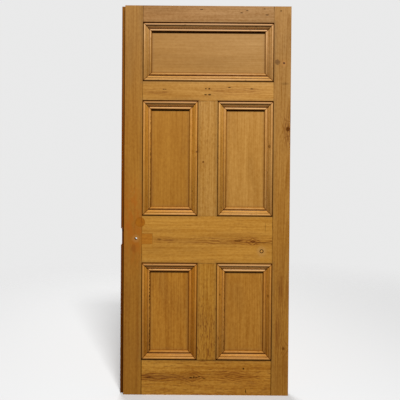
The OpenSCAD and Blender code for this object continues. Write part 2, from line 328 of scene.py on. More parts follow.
def rectangle_group():
    """Distances inwards from the sides of a rectangle on the face of the leaf, and outwards from it."""
    tree, g, given, result = new_group(
        "rectangle", {"Vector": ["Place", "Low", "High"]},
        {"Float": ["Across", "Up", "Inwards", "Outwards"]})
    x0, z0 = g.split(g.vector("SUBTRACT", given["Place"], given["Low"]))[::2]
    x1, z1 = g.split(g.vector("SUBTRACT", given["High"], given["Place"]))[::2]
    across = g.math("MINIMUM", x0, x1)
    up = g.math("MINIMUM", z0, z1)
    inwards = g.math("MINIMUM", across, up)
    g.put(result["Across"], across)
    g.put(result["Up"], up)
    g.put(result["Inwards"], inwards)
    g.put(result["Outwards"], g.minus(0.0, inwards))
    return tree


# The noises that bend a feather's lines and make them faint, and the edges of its lines and of its nest
BEND = (45.0, 14.0, 2.0, 0.5)
FAINT = (30.0, 9.0, 2.0, 0.5)
BEND_DEPTH = 0.02
FEATHER_LINE = (0.06, 0.3)
FEATHER_END = (0.45, 1.0)
FAINT_FADE = (0.3, 0.6, 0.35, 1.0)


def feather_group():
    """Fine nested lines round a point on a board, such as flat-sawn timber shows beside a knot.

    Board is the place with the grain along Z, and so are Centre and Half. Slope is how blunt the nest is.
    """
    tree, g, given, result = new_group(
        "feather", {"Vector": ["Board", "Centre", "Half"], "Float": ["Slope", "Spacing"]},
        {"Float": ["Mask"]})
    from_centre = g.vector("SUBTRACT", given["Board"], given["Centre"])
    x, z = g.split(from_centre)[::2]
    bend = g.grain(given["Board"], *BEND)
    nest = g.math("MULTIPLY_ADD", g.math("ABSOLUTE", z), given["Slope"], g.math("ABSOLUTE", x))
    nest = g.math("MULTIPLY_ADD", bend, BEND_DEPTH, nest)
    phase = g.math("FRACT", g.math("DIVIDE", nest, given["Spacing"]))
    line = g.fade(g.math("ABSOLUTE", g.minus(phase, 0.5)), *FEATHER_LINE)
    away = g.length(*g.split(g.vector("DIVIDE", from_centre, given["Half"]))[::2])
    within = g.fade(away, *FEATHER_END)
    strength = g.ease(g.grain(given["Board"], *FAINT), *FAINT_FADE)
    g.put(result["Mask"], g.product(line, within, strength))
    return tree


PINE = pine_group()
SPOT = spot_group()
FEATHER = feather_group()
RECTANGLE = rectangle_group()


# How far a board's seed moves it through the noise, across and along the grain
SEED_ACROSS, SEED_ALONG = 0.37, 1.91

# Knots: reach and push of the rings round one against its size, its own rings and their contrast, and the
# softness and raggedness of its edge and of the rings' flow
KNOT_FLOW, KNOT_PUSH, KNOT_RINGS, KNOT_CONTRAST = 3.2, 1.1, 14.0, 0.25
KNOT_EDGE, FLOW_EDGE = (0.35, 0.5), (0.95, 0.0)

# Marks: depth of holes and flecks, edges of flecks and pits, detail and roughness of the pits' noise, and
# the noise and the widths of dirt
HOLE_DEPTH, FLECK_DEPTH = 2.0, 1.0
FLECK_EDGE = (0.1, 0.24)
PIT_FADE = 0.1
PIT_DETAIL = (2.0, 0.6)
DIRT_NOISE = (70.0, 3.0, 0.6)
DIRT_LEAST, DIRT_RANGE = 0.2, 1.6

# Surface: relief, bump, roughness, end grain, and dust with painted shade on the leaf's top
LATE_HEIGHT, FIBRE_HEIGHT = 0.6, 0.5
BUMP_STRENGTH, BUMP_DEPTH = 0.35, 0.6 * MM
LEAST_ROUGH, ROUGH_RANGE = 0.40, 0.18
END_FACING, END_SHARE = (0.8, 0.95), 0.7
DUST_AND_SHADE_FACING, DUST_AND_SHADE_SHARE = (0.7, 0.95), 0.9
DUST_AND_SHADE_HEIGHTS = (LEAF_TOP - 3 * MM, LEAF_TOP - 1 * MM)


class Wood:
    """A waxed pine material for one board, built up in layers over its colour."""

    def __init__(self, node, upright, pith, tone, spacing=2.0, tilt=0.01, seed=0.0, figure=0.4, grain=1.0,
                 wander=0.012, cloud=0.5, wax_fade=WAX_FADE, left=None):
        self.node = node
        self.material = bpy.data.materials.new(node + "_pine")
        self.material.use_nodes = True
        tree = self.material.node_tree
        tree.nodes.clear()
        self.g = Graph(tree)
        self.place = self.g.add("ShaderNodeTexCoord").outputs["Object"]
        self.x, self.y, self.z = self.g.split(self.place)
        self.front = self.g.fade(self.y, *FRONT_FADE)
        self.upright, self.pith, self.tilt = upright, pith, tilt
        self.seed, self.wax_fade = seed, wax_fade
        self.settings = {"Spacing": spacing * MM, "Figure": figure, "Grain": grain, "Wander": wander,
                         "Cloud": cloud, "Light": deepened(tone, EARLY_WOOD),
                         "Dark": deepened(tone, LATE_WOOD)}
        self.push = 0.0
        self.shine = SHINE
        self.left = left
        self.knots = []

    def spot(self, x, z, half_x, half_z, soft=0.3, ragged=0.2):
        """The mask of an ellipse given in mm, and the distance from its middle."""
        return self.g.group(SPOT, Place=self.place, Centre=(x * MM, 0.0, z * MM),
                            Half=(half_x * MM, 1.0, half_z * MM), Soft=soft, Ragged=ragged)

    def rectangle(self, low, high):
        """Distances inwards and outwards from the sides of a rectangle given in metres."""
        return self.g.group(RECTANGLE, Place=self.place, Low=(low[0], 0.0, low[1]),
                            High=(high[0], 0.0, high[1]))

    def knot(self, x, z, size, along=1.6, strength=0.85):
        """A knot that the rings flow round. It is placed before the timber is grown."""
        long_side, short_side = size * along, size
        half = (short_side, long_side) if self.upright else (long_side, short_side)
        flow = self.spot(x, z, half[0] * KNOT_FLOW, half[1] * KNOT_FLOW, *FLOW_EDGE)["Mask"]
        pushed = self.g.product(flow, size * KNOT_PUSH * MM)
        self.push = pushed if isinstance(self.push, float) else self.g.total(self.push, pushed)
        core = self.spot(x, z, *half, *KNOT_EDGE)
        self.knots.append((core["Mask"], core["Distance"], strength))

    def grow(self):
        """Lays down the bare timber, then its knots."""
        g = self.g
        along, across = (self.z, self.x) if self.upright else (self.x, self.z)
        board = g.join(g.total(across, self.seed * SEED_ACROSS), self.y,
                       g.total(along, self.seed * SEED_ALONG))
        from_pith = g.minus(across, self.pith[0])
        depth = g.math("MULTIPLY_ADD", along, self.tilt, g.minus(self.y, self.pith[1]))
        rings = g.join(from_pith, depth, along)
        made = g.group(PINE, Board=board, Rings=rings, Push=self.push, **self.settings)
        self.board, self.colour = board, made["Color"]
        self.late, self.fibre, self.cloud = made["Late"], made["Fibre"], made["Cloud"]
        self.height = g.total(g.product(self.late, LATE_HEIGHT), g.product(self.fibre, FIBRE_HEIGHT))
        for core, away, strength in self.knots:
            wave = g.math("SINE", g.product(away, KNOT_RINGS))
            ringed = g.math("MULTIPLY_ADD", wave, KNOT_CONTRAST, 1 - KNOT_CONTRAST)
            self.tint(g.product(core, ringed, strength), KNOT_BROWN)
        self.tint(g.fade(self.z, *self.wax_fade), OLD_WAX, "MULTIPLY")
        if self.left:
            self.tint(g.fade(self.x, *LEFT_FADE), self.left, "MULTIPLY")

    def wax_and_shade(self, mask):
        """Old wax that has gathered and browned, which the callers also use as painted shade in cracks and on
        the lower ledge.
        """
        self.tint(mask, DEEP_WAX_AND_SHADE, "MULTIPLY")

    def feather(self, x, z, half_x, half_z, slope, spacing, strength):
        """Nested figure lines round a point, with sizes in mm."""
        along, across = (z, x) if self.upright else (x, z)
        half_along, half_across = (half_z, half_x) if self.upright else (half_x, half_z)
        centre = (across * MM + self.seed * SEED_ACROSS, 0.0, along * MM + self.seed * SEED_ALONG)
        lines = self.g.group(FEATHER, Board=self.board, Centre=centre, Slope=slope,
                             Half=(half_across * MM, 1.0, half_along * MM), Spacing=spacing * MM)["Mask"]
        self.tint(self.g.product(lines, self.front, strength), FIGURE_LINE, "MULTIPLY")

    def tint(self, mask, colour, kind="MIX"):
        """Mixes a colour in where the mask is, and takes the shine off under a dull one."""
        self.colour = self.g.blend(mask, self.colour, colour, kind)
        if colour in DULL:
            self.shine = self.g.product(self.shine, self.g.minus(1.0, mask))

    def press(self, mask, depth):
        """Sinks the surface where the mask is."""
        self.height = self.g.minus(self.height, self.g.product(mask, depth))

    def hole(self, x, z, half_x, half_z, strength=0.9):
        """A nail hole or a pit in the front face."""
        spot = self.spot(x, z, half_x, half_z, *KNOT_EDGE)
        mask = self.g.product(spot["Mask"], self.front, strength)
        self.tint(mask, SOOT_AND_SHADE)
        self.press(mask, HOLE_DEPTH)

    def stain(self, x, z, half_x, half_z, colour, strength, soft, ragged):
        """A soft patch of colour on the front face."""
        spot = self.spot(x, z, half_x, half_z, soft, ragged)
        self.tint(self.g.product(spot["Mask"], self.front, strength), colour)

    def grey(self, low, high, strength):
        """Grey clouds, where the timber's own clouds rise from low to high."""
        clouds = self.g.ease(self.cloud, low, high)
        self.tint(self.g.product(clouds, strength), GREY_DIRT)

    def flecks(self, region, strength=0.7, across=90.0, along=26.0, keep=0.3, colour=GRIME_AND_SHADE):
        """Short dark flecks along the grain, such as resin ducts and worm tracks."""
        g = self.g
        place = g.vector("MULTIPLY", self.board, (across, across, along))
        cell = g.add("ShaderNodeTexVoronoi", {"Vector": place, "Scale": 1.0, "Randomness": 1.0})
        near = g.fade(cell.outputs["Distance"], *FLECK_EDGE)
        chosen = g.math("LESS_THAN", g.split(cell.outputs["Color"])[0], keep)
        mask = g.product(near, chosen, region, strength)
        self.tint(mask, colour)
        self.press(mask, FLECK_DEPTH)

    def pits(self, region, across, along, low, strength, colour):
        """Ragged dark pits and streaks along the grain, where a noise rises over low."""
        g = self.g
        broken = g.grain(self.board, across, along, *PIT_DETAIL)
        mask = g.product(g.ease(broken, low, low + PIT_FADE), region, strength)
        self.tint(mask, colour)
        self.press(mask, FLECK_DEPTH)

    def dirt(self, distance, width, strength, colour=GRIME_AND_SHADE, region=1.0):
        """Dirt that thins out with the distance from an edge or a corner."""
        g = self.g
        broken = g.noise(self.place, *DIRT_NOISE)
        width = g.product(g.math("MULTIPLY_ADD", broken, DIRT_RANGE, DIRT_LEAST), width)
        mask = g.minus(1.0, g.math("DIVIDE", distance, width))
        mask = g.ease(mask, 0.0, 1.0)
        self.tint(g.product(mask, region, strength), colour)

    def finish(self):
        """Old wax over all: satin, duller in the dirt, with darkened end grain and a top darkened by dust and
        painted shade.
        """
        g = self.g
        axis = (0.0, 0.0, 1.0) if self.upright else (1.0, 0.0, 0.0)
        normal = g.add("ShaderNodeNewGeometry").outputs["True Normal"]
        facing = g.add("ShaderNodeVectorMath", {0: normal, 1: axis}, operation="DOT_PRODUCT").outputs["Value"]
        self.tint(g.ease(g.math("ABSOLUTE", facing), *END_FACING, 0.0, END_SHARE), END_GRAIN)
        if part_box(self.node)[1].z > LEAF_TOP - MM:
            upwards = g.ease(g.split(normal)[2], *DUST_AND_SHADE_FACING)
            on_top = g.ease(self.z, *DUST_AND_SHADE_HEIGHTS)
            self.tint(g.product(upwards, on_top, DUST_AND_SHADE_SHARE), TOP_DUST_AND_SHADE)
        rough = g.math("MULTIPLY_ADD", self.fibre, ROUGH_RANGE, LEAST_ROUGH)
        bump = g.add("ShaderNodeBump", {
            "Height": self.height, "Strength": BUMP_STRENGTH, "Distance": BUMP_DEPTH})
        shader = g.add("ShaderNodeBsdfPrincipled", {
            "Base Color": self.colour, "Roughness": rough, "Normal": bump.outputs[0],
            "Specular IOR Level": self.shine})
        out = g.add("ShaderNodeOutputMaterial")
        g.put(out.inputs["Surface"], shader.outputs[0])
        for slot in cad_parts[self.node].material_slots:
            slot.material = self.material


# Edges of the frame's members, read from the solids
FAR = 9.0
LOCK_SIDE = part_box("lock_stile")[1].x
HINGE_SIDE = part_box("hinge_stile")[0].x


def opening_edges(opening):
    """Low and high corner of an opening, from the outer edges of its mouldings."""
    low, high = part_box(opening + "_moulding_bottom")[0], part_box(opening + "_moulding_top")[1]
    gap = MOULDING_GAP
    return (low.x - gap, low.z - gap), (high.x + gap, high.z + gap)


OPENING_EDGES = {name: opening_edges(name) for name in OPENINGS}


def rail_face(below, above):
    """The face of a rail between the opening below it and the one above."""
    bottom = OPENING_EDGES[below][1][1] if below else -FAR
    top = OPENING_EDGES[above][0][1] if above else FAR
    return (LOCK_SIDE, bottom), (HINGE_SIDE, top)


def muntin_face(left, right):
    """The face of a muntin between the openings on its left and right."""
    (low, high), right_low = OPENING_EDGES[left], OPENING_EDGES[right][0]
    return (high[0], low[1]), (right_low[0], high[1])


# Low and high corner of each member's face, far away where an edge is an outer one
FACES = {
    "lock_stile": ((-FAR, -FAR), (LOCK_SIDE, FAR)),
    "hinge_stile": ((HINGE_SIDE, -FAR), (FAR, FAR)),
    "top_rail": rail_face("top", None),
    "frieze_rail": rail_face("upper_left", "top"),
    "lock_rail": rail_face("lower_left", "upper_left"),
    "bottom_rail": rail_face(None, "lower_left"),
    "upper_muntin": muntin_face("upper_left", "upper_right"),
    "lower_muntin": muntin_face("lower_left", "lower_right"),
}

# The openings that each member borders
NEIGHBOURS = {
    "lock_stile": ("top", "upper_left", "lower_left"),
    "hinge_stile": ("top", "upper_right", "lower_right"),
    "top_rail": ("top",),
    "frieze_rail": ("top", "upper_left", "upper_right"),
    "lock_rail": ("upper_left", "upper_right", "lower_left", "lower_right"),
    "bottom_rail": ("lower_left", "lower_right"),
    "upper_muntin": ("upper_left", "upper_right"),
    "lower_muntin": ("lower_left", "lower_right"),
}

# Dirt in a member's joints: least, most, and how far it is full in mm, then its fade and its breaks
PLAIN_JOINT = (0.15, 0.7, 0.6)
JOINT_DIRT = {"bottom_rail": (0.8, 1.0, 2.2), "lock_rail": (0.35, 0.95, 0.6), "top_rail": (0.5, 0.9, 1.2)}
JOINT_FADE = 1.8
JOINT_NOISE = (14.0, 3.0, 0.6)
JOINT_BREAKS = (0.35, 0.65)

# Grey clouds: where they set in and are full, and their strength
MEMBER_GREY = (0.5, 0.72, 0.15)
PANEL_GREY = (0.48, 0.72, 0.12)

# Loose dirt: reach and strength round an opening, on a panel's front, on its back, and in the corner there
OPENING_DIRT = (20 * MM, 0.25)
PANEL_DIRT = (20 * MM, 0.2)
BACK_DIRT, BACK_CORNER = (26 * MM, 0.25), (6 * MM, 0.6)

# On a panel's front: wax along its edges, and the painted shadow in a band under its top moulding
PANEL_WAX = (1 * MM, 6 * MM, 0.6)
PANEL_SHADOW_BAND = (3 * MM, 9.5 * MM)

# The dark line of soot and painted shade on a member along an opening, widest on a rail above it: full to the
# first distance in mm, gone by the second, strength
EDGE_DIRT_AND_SHADE = {"above": (2.5, 3.4, 0.98), "below": (0.4, 1.6, 0.9), "beside": (0.0, 1.2, 0.45)}

# The wax beside that line: how much further it goes, and its strength against the line's
LINE_WAX_REACH, LINE_WAX_SHARE = 3.0, 0.7

# Under each opening's top edge: painted shadow on the panel, the reach of painted shade up the moulding's
# inner edge in mm, and the strength of dirt and painted shade in the crack
TOP_SHADE_AND_DIRT = {"top": (0.97, 6.5, 1.0), "upper_left": (0.95, 3.6, 0.9), "upper_right": (0.95, 3.6, 0.9),
            "lower_left": (0.6, 3.0, 0.6), "lower_right": (0.6, 3.0, 0.6)}

# Dirt and painted shade on a moulding by its side, heaviest on the top lengths: width of the outer crack in
# mm, its strength, then shares in the outer quirk, in the inner quirk and along the inner edge, and the wear
# with painted highlight on the beads and the painted light on the ogee
MOULDING_DIRT_AND_SHADE = {
    "top": (4.0, 0.97, 1.0, 0.55, 1.0, 0.9, 0.75),
    "bottom": (2.2, 0.97, 0.20, 0.85, 0.15, 0.18, 0.1),
    "left": (2.2, 0.5, 0.12, 0.3, 0.45, 0.1, 0.0),
    "right": (2.2, 0.75, 0.15, 0.3, 0.45, 0.1, 0.0),
}

# How far dirt and painted shade reach over the inner edge of the other mouldings in mm, and the noise that
# breaks them up
SIDE_REACH = 3.4
MOULDING_NOISE = (60.0, 3.0, 0.6)
MOULDING_BREAKS = (0.3, 0.7, 0.6, 1.0)

# Quirks: half width and fade of the wax and of the grime, and the strength of the painted shade on the lower
# ledge
QUIRK_WAX, QUIRK_GRIME = (1.0 * MM, 2.0 * MM), (0.8 * MM, 1.5 * MM)
LEDGE_SHADE = 0.9

# The outer crack: shares of its width where wax and soot with painted shade are full, and how much further
# the wax goes in mm
CRACK_WAX_FULL, CRACK_SOOT_FULL, CRACK_WAX_REACH = 0.5, 0.35, 2.5

# The inner edge: how much further the wax goes and where it is full in mm, and the full share of the grime
# and painted shade
EDGE_WAX_REACH, EDGE_WAX_FULL, EDGE_GRIME_FULL = 2.0, 1.5, 0.4

# Wax and soot in the mitres: where full, where gone, and strength
MITRE_WAX, MITRE_SOOT = (1.0 * MM, 4.0 * MM, 0.8), (0.4 * MM, 1.6 * MM, 0.85)

# Lengths that are browner or paler than the others round their opening
MOULDING_AGE = {
    "top": {"right": (1.03, 1.04, 1.22, 1.0), "top": (0.85, 0.87, 0.92, 1.0)},
    "upper_left": {"right": (1.1, 1.11, 1.12, 1.0), "top": (0.9, 0.86, 0.72, 1.0)},
    "upper_right": {"right": (1.0, 1.02, 1.3, 1.0), "top": (0.92, 0.93, 0.88, 1.0)},
    "lower_left": {"right": (1.05, 0.98, 0.72, 1.0), "top": (0.98, 0.9, 0.68, 1.0)},
    "lower_right": {"right": (0.95, 0.91, 0.86, 1.0), "top": (1.1, 1.12, 1.05, 1.0)},
}

# How dark the pits along the inner edge of left-hand mouldings are, and where they set in
PITTED = {"upper_left": 0.5, "lower_left": 0.95, "lower_right": 0.6}
PITTED_FADE = (MOULDING_W - 8 * MM, MOULDING_W - 5 * MM)

# Knots on the mouldings: x, z, half width in mm, length along the grain over width, strength
MOULDING_KNOTS = {
    "upper_left_moulding_right": [(-47, 1274, 4.5, 1.3, 1.0)],
    "upper_right_moulding_right": [(333, 1304, 6, 1.6, 0.8)],
    "lower_right_moulding_left": [(80, 527, 4, 1.5, 0.7), (74, 300, 2.5, 3.0, 0.8)],
    "lower_right_moulding_right": [(331, 522, 5, 1.4, 0.6)],
}

# Trunk of each board: pith across and behind the face in metres, ring spacing in mm, lean along the grain
MEMBERS = {
    "lock_stile": dict(upright=True, pith=(-0.62, 0.10), tone=srgb(164, 114, 45), spacing=2.6, seed=1.0,
                       grain=0.8),
    "hinge_stile": dict(upright=True, pith=(0.43, 0.02), tone=srgb(168, 120, 55), spacing=4.0, tilt=-0.012,
                        seed=2.0, figure=0.42, grain=0.82, wax_fade=(0.7, 1.9)),
    "upper_muntin": dict(upright=True, pith=(0.16, 0.12), tone=srgb(178, 134, 77), spacing=3.0, seed=3.0),
    "lower_muntin": dict(upright=True, pith=(0.02, 0.01), tone=srgb(182, 132, 57), spacing=4.2, tilt=0.02,
                         seed=4.0, figure=0.45, grain=1.1, wander=0.016),
    "top_rail": dict(upright=False, pith=(2.14, 0.12), tone=srgb(151, 109, 58), spacing=2.5, seed=5.0,
                     grain=1.2, left=(0.97, 0.91, 0.82, 1.0)),
    "frieze_rail": dict(upright=False, pith=(1.58, -0.012), tone=srgb(183, 136, 73), spacing=4.0, tilt=-0.02,
                        seed=6.0, figure=0.38, grain=0.9, left=(0.88, 0.84, 0.65, 1.0)),
    "lock_rail": dict(upright=False, pith=(0.811, -0.0157), tone=srgb(191, 141, 69), spacing=3.2, tilt=0.03,
                      seed=7.0, grain=0.8, wander=0.007),
    "bottom_rail": dict(upright=False, pith=(0.093, -0.019), tone=srgb(184, 130, 55), spacing=3.6, tilt=0.024,
                        seed=8.0, figure=0.6, grain=1.3, left=(1.09, 1.17, 1.36, 1.0)),
}
PANELS = {
    "top": dict(upright=False, pith=(1.62, 0.20), tone=srgb(164, 121, 65), spacing=1.9, seed=9.0, figure=0.28,
                grain=0.5, left=(0.94, 0.89, 0.73, 1.0)),
    "upper_left": dict(upright=True, pith=(-0.34, 0.16), tone=srgb(168, 118, 48), spacing=1.8, seed=10.0,
                       figure=0.3, grain=0.7),
    "upper_right": dict(upright=True, pith=(0.10, 0.18), tone=srgb(181, 135, 76), spacing=1.9, seed=11.0,
                        figure=0.3, grain=0.75),
    "lower_left": dict(upright=True, pith=(-0.10, 0.10), tone=srgb(178, 124, 50), spacing=4.0, seed=12.0,
                       figure=0.45),
    "lower_right": dict(upright=True, pith=(0.32, 0.12), tone=srgb(178, 126, 56), spacing=3.0, seed=13.0,
                        grain=0.85),
}

# The mouldings: pith beyond the middle of one and behind the face, first seed, and tone round each opening
MOULDING_PITH = (0.05, 0.06)
MOULDING_SEED = 20.0
MOULDING_TONES = {
    "top": srgb(170, 125, 65),
    "upper_left": srgb(181, 130, 58), "upper_right": srgb(180, 133, 69),
    "lower_left": srgb(179, 125, 50), "lower_right": srgb(182, 129, 57),
}

# Knots on the members: x, z, half width in mm, length along the grain over width, strength
KNOTS = {
    "hinge_stile": [(428, 1395, 10.5, 1.1, 1.0), (414, 248, 7, 1.2, 0.9)],
    "lock_rail": [(172, 811, 5, 4.0, 0.75), (252, 808, 3, 3.0, 0.5), (-238, 816, 3.5, 3.0, 0.8)],
    "bottom_rail": [(-282, 91, 3, 9.0, 0.8), (-68, 92, 4, 2.0, 0.5), (118, 98, 3, 2.0, 0.5)],
    "upper_muntin": [(-12, 1221, 5, 1.2, 1.0), (-26, 1400, 4, 1.5, 0.4)],
}

# Figure on the members: x, z, half width, half height in mm, bluntness, spacing in mm, strength
FEATHERS = {
    "lock_rail": [(215, 810, 470, 28, 0.035, 11.5, 0.85), (250, 808, 50, 26, 0.5, 11.5, 1.0),
                  (172, 811, 60, 16, 0.2, 10.0, 1.0), (-215, 812, 80, 22, 0.12, 11.0, 0.8)],
    "bottom_rail": [(-235, 92, 165, 40, 0.10, 12.5, 1.0), (-60, 94, 105, 46, 0.35, 13.0, 0.8),
                    (150, 100, 150, 46, 0.20, 13.0, 0.7)],
    "frieze_rail": [(150, 1590, 210, 34, 0.10, 13.0, 0.5), (-250, 1583, 120, 26, 0.12, 12.0, 0.4)],
    "hinge_stile": [(430, 1395, 34, 150, 0.14, 11.5, 0.7), (392, 420, 26, 330, 0.05, 11.0, 0.5)],
    "lower_muntin": [(10, 300, 48, 260, 0.12, 12.0, 0.5)],
}

# Members with dark streaks along the grain, and their strength
STREAKY = {"bottom_rail": 0.45, "lock_rail": 0.2, "hinge_stile": 0.2, "upper_muntin": 0.2}

# Browner patches on the members: x, z, half width, half height in mm, strength
BLOTCHES = {
    "lock_rail": [(172, 812, 55, 12, 0.28), (252, 808, 46, 18, 0.2), (-60, 806, 160, 10, 0.15),
                  (-215, 815, 60, 14, 0.2), (150, 845, 120, 10, 0.15)],
    "bottom_rail": [(-235, 92, 120, 14, 0.35), (-60, 92, 70, 24, 0.28), (150, 102, 90, 24, 0.25),
                    (25, 38, 30, 9, 0.3), (160, 30, 14, 16, 0.3), (-200, 28, 44, 8, 0.25),
                    (-292, 48, 28, 12, 0.25), (-95, 150, 30, 14, 0.2), (250, 60, 60, 10, 0.2)],
    "frieze_rail": [(170, 1592, 90, 10, 0.2), (-240, 1580, 60, 8, 0.2)],
    "hinge_stile": [(400, 560, 12, 60, 0.4), (380, 330, 10, 80, 0.45), (425, 150, 10, 90, 0.4),
                    (428, 1395, 22, 60, 0.25)],
    "lock_stile": [(-400, 520, 14, 90, 0.2), (-350, 300, 10, 120, 0.2)],
}
BLOTCH_EDGE = (0.8, 0.9)

# The filler plug in the lock rail and its dark ring, and the darker plug in the hinge stile, in mm
FILLER_X, FILLER_Z, FILLER_RING = 296.5, 757, 8.4
DARK_PLUG = (370.5, 1743)

# Stains: x, z, half width, half height in mm, colour, strength, softness, raggedness
STAINS = {
    "lock_stile": [(-406, 883, 10, 22, srgb(168, 84, 14), 0.55, 0.6, 0.9),
                   (-372, 768, 12, 20, srgb(140, 80, 14), 0.65, 0.5, 0.9),
                   (-360, 818, 18, 19, srgb(178, 128, 66), 0.45, 0.4, 0.3)],
    "hinge_stile": [(428, 1395, 10, 10, KNOT_BROWN, 0.6, 0.4, 0.4),
                    (*DARK_PLUG, 13.5, 13.5, DARK_FILLER, 0.9, 0.2, 0.6),
                    (411, 1631, 18, 6, GRIME_AND_SHADE, 0.3, 0.8, 0.6),
                    (405, 1738, 12, 16, srgb(186, 126, 62), 0.35, 0.6, 0.6),
                    (405, 1738, 5.5, 5.5, srgb(70, 30, 2), 0.95, 0.4, 0.6)],
    "lock_rail": [(315, 881, 1.6, 24, GRIME_AND_SHADE, 0.45, 0.5, 0.6), (300, 801, 54, 1.4, GRIME_AND_SHADE, 0.7, 0.4, 0.6),
                  (FILLER_X, FILLER_Z, 22, 24, srgb(190, 146, 88), 0.35, 0.5, 0.5)],
    "filler_plugs": [(*DARK_PLUG, 11, 11, DARK_FILLER, 0.95, 0.3, 0.6)],
}

# Amber wax round the old lock: its place as in the stains, its patchiness, and the colours of its flecks
AMBER_PATCH = (-370, 890, 62, 190, 0.6, 0.6)
PATCHY = (45.0, 16.0, 3.0, 0.6)
PATCHY_RANGE = (0.38, 0.6, 0.2, 0.85)
DARK_AMBER, PALE_AMBER = srgb(136, 72, 12), srgb(198, 142, 72)

# The strip: heights where it darkens and pales, and the painted shadow in the corner against the stile
STRIP_DARK, STRIP_PALE = (0.2, 1.1, 0.5), (1.1, 1.9)
STRIP_CORNER_SHADOW, STRIP_FRONT = (1.5 * MM, 8 * MM, 0.8), (0.5 * MM, 1.5 * MM)

# The pitted part of the lower muntin: heights where it is full and faint, and how strong it is there
MUNTIN_PITTED = (0.34, 0.62, 1.0, 0.3)

# Glue lines round the plug and the patch, the filler's ring on the rail and on the plug, and its strength
PLUG_LINE, PATCH_LINE = (0.94, 1.0, 0.0, 0.6), (0.4 * MM, 1.4 * MM, 0.6)
RING_ON_RAIL, RING_ON_PLUG = (1.0, 0.14, 0.2), (1.0, 0.16, 0.2)
RING_STRENGTH = 0.85

# Nail holes and pits in the front: x, z, half width, half height in mm
HOLES = {
    "top_rail": [(182, 1997, 8, 2.2), (211, 2009, 6, 2.0), (302, 2018, 5, 2.2), (315, 1987, 9, 2.4),
                 (-26, 2013, 9, 2.0)],
    "frieze_rail": [(-1, 1602, 4, 3), (17, 1602, 5, 4), (-2, 1571, 7, 3), (19, 1571, 8, 3.6),
                    (-220, 1598, 5, 2), (-210, 1598, 3.5, 2), (122, 1609, 7, 2.4), (238, 1603, 8, 2.2)],
    "hinge_stile": [(387, 2008, 4, 3)],
    "bottom_rail": [(207, 140, 4.5, 4.5), (-69, 92, 8, 2.6), (-53, 94, 5, 3.6), (-40, 90, 7, 2.6),
                    (-25, 96, 5, 2.4), (2, 86, 7, 2.2), (219, 22, 2, 11)],
}


def lie(node, opening):
    """Where a member lies on its side of an opening."""
    if MEMBERS[node]["upright"]:
        return "beside"
    return "above" if FACES[node][0][1] >= OPENING_EDGES[opening][1][1] - MM else "below"


def member_wood(node):
    """A stile, rail or muntin, with dirt along the edges that meet something, and soot, wax and painted shade
    in the cracks along the openings, heaviest on a rail above one.
    """
    wood = Wood(node, **MEMBERS[node])
    for x, z, size, along, strength in KNOTS.get(node, []):
        wood.knot(x, z, size, along, strength)
    wood.grow()
    g = wood.g
    for hole in HOLES.get(node, []):
        wood.hole(*hole)
    for feather in FEATHERS.get(node, []):
        wood.feather(*feather)
    for x, z, half_x, half_z, strength in BLOTCHES.get(node, []):
        blotch = wood.spot(x, z, half_x, half_z, *BLOTCH_EDGE)
        wood.wax_and_shade(g.product(blotch["Mask"], wood.front, strength))
    if node in STREAKY:
        wood.pits(wood.front, across=170.0, along=24.0, low=0.56, strength=STREAKY[node], colour=FLECK)
    wood.grey(*MEMBER_GREY)
    joints = wood.rectangle(*FACES[node])["Inwards"]
    least, most, width = JOINT_DIRT.get(node, PLAIN_JOINT)
    broken = g.ease(g.noise(wood.place, *JOINT_NOISE), *JOINT_BREAKS, least, most)
    wood.tint(g.product(g.fade(joints, width * MM, (width + JOINT_FADE) * MM), broken), GRIME_AND_SHADE)
    for opening in NEIGHBOURS[node]:
        away = wood.rectangle(*OPENING_EDGES[opening])["Outwards"]
        place = lie(node, opening)
        full, gone, strength = EDGE_DIRT_AND_SHADE[place]
        if place == "above":
            strength *= TOP_SHADE_AND_DIRT[opening][2]
        wood.dirt(away, *OPENING_DIRT, GREY_DIRT)
        # Wax and soot along the crack, with painted shade that is strongest on a rail above the opening
        waxed_and_shaded = g.fade(away, full * MM, (gone + LINE_WAX_REACH) * MM, LINE_WAX_SHARE * strength)
        wood.wax_and_shade(g.product(waxed_and_shaded, wood.front))
        wood.tint(g.product(g.fade(away, full * MM, gone * MM, strength), wood.front), SOOT_AND_SHADE)
    return wood


def panel_wood(opening):
    """A panel, dirty where it meets its mouldings, with a painted shadow under its top moulding."""
    wood = Wood(opening + "_panel", **PANELS[opening])
    wood.grow()
    g = wood.g
    reach = MOULDING_GAP + MOULDING_W
    low, high = OPENING_EDGES[opening]
    inwards = wood.rectangle((low[0] + reach, low[1] + reach), (high[0] - reach, high[1] - reach))["Inwards"]
    wood.grey(*PANEL_GREY)
    on_front = g.fade(wood.y, *PANEL_MIDDLE)
    on_back = g.minus(1.0, on_front)
    wood.dirt(inwards, *PANEL_DIRT, GREY_DIRT, on_front)
    wood.wax_and_shade(g.product(g.fade(inwards, *PANEL_WAX), on_front))
    # Painted shadow in a band under the top moulding
    below_top = g.minus(high[1] - reach, wood.z)
    shadow_band = g.fade(below_top, *PANEL_SHADOW_BAND, TOP_SHADE_AND_DIRT[opening][0])
    wood.tint(g.product(shadow_band, on_front), SOOT_AND_SHADE)
    behind = wood.rectangle(low, high)["Inwards"]
    wood.dirt(behind, *BACK_DIRT, GREY_DIRT, on_back)
    wood.dirt(behind, *BACK_CORNER, GRIME_AND_SHADE, on_back)
    wood.finish()


def from_outer_edge(wood, side, low, high):
    """The distance inwards from the outer edge of a length of moulding."""
    far_and_near = {"bottom": (wood.z, low.z), "top": (high.z, wood.z),
                    "left": (wood.x, low.x), "right": (high.x, wood.x)}
    return wood.g.minus(*far_and_near[side])


